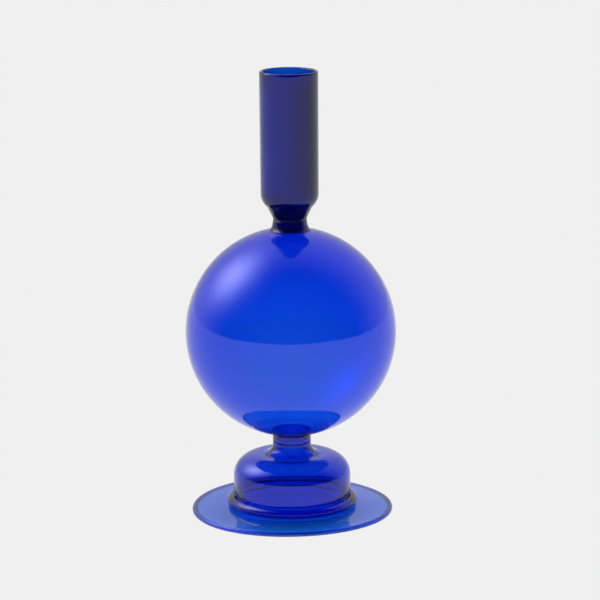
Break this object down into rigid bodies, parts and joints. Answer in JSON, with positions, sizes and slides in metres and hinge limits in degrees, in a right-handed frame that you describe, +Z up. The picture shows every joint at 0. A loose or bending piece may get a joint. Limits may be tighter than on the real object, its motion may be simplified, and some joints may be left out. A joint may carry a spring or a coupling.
{
  "type": "blown glass vase",
  "caption": "Footed glass vase: a slim tube cup for a stem or candle on a hollow globe, a squat hollow bulb and a wide round foot with a rolled rim.",
  "frame": {"origin": "centre of the ring that the foot stands on", "axes": "+Z up along the vase's axis, from the foot to the mouth of the cup; the vase is round, so X and Y are alike"},
  "size_m": [0.0998, 0.0998, 0.2125],
  "materials": {
    "foot_glass": "clear polished cobalt blue glass, paler where it is thin",
    "bulb_glass": "clear fire-polished cobalt blue glass",
    "globe_glass": "thin clear fire-polished cobalt blue glass",
    "collar_glass": "thick fire-polished cobalt blue glass, nearly black",
    "cup_glass": "thick clear fire-polished cobalt blue glass"
  },
  "bodies": {
    "root": {"foot_plate": "foot_glass", "seat_ring": "bulb_glass", "foot_bulb": "bulb_glass", "lower_collar": "collar_glass", "globe": "globe_glass", "waist_collar": "collar_glass", "neck_cup": "cup_glass"}
  },
  "joints": []
}
